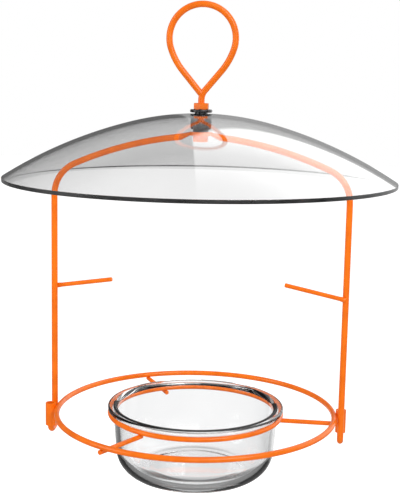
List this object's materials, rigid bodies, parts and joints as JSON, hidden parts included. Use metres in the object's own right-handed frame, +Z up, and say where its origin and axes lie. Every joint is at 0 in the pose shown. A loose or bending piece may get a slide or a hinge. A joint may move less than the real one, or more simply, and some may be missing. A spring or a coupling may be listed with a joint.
{
  "type": "oriole feeder",
  "caption": "Hanging bird feeder: clear rain dome over a bent wire frame with fruit spikes, and a lift-off wire perch ring that carries a glass dish.",
  "frame": {"origin": "highest point of the hanging loop's inner side, where a hook or branch bears", "axes": "+Z up, X from the left upright to the right upright, Y from front to back, so the camera's side is -Y"},
  "size_m": [0.254, 0.254, 0.3122],
  "materials": {
    "orange_coat": "orange powder coat, satin gloss",
    "black_rubber": "smooth black moulded rubber",
    "clear_plastic": "clear glossy formed sheet",
    "dish_glass": "clear pressed glass"
  },
  "bodies": {
    "hanger": {"hanging_loop": "orange_coat", "upper_nut": "orange_coat", "frame_wire": "orange_coat", "lower_nut": "orange_coat", "fruit_spike_left": "orange_coat", "fruit_spike_right": "orange_coat", "top_washer": "black_rubber", "spacer": "black_rubber", "dome": "clear_plastic"},
    "tray": {"outer_ring": "orange_coat", "dish_ring": "orange_coat", "spoke_right": "orange_coat", "spoke_back": "orange_coat", "spoke_front": "orange_coat", "lug_tube_left": "orange_coat", "lug_tube_right": "orange_coat", "glass_dish": "dish_glass"}
  },
  "joints": [
    {"name": "tray_lift", "type": "slide", "parent": "hanger", "child": "tray", "axis": [0, 0, 1], "range_m": [0, 0.01]}
  ]
}
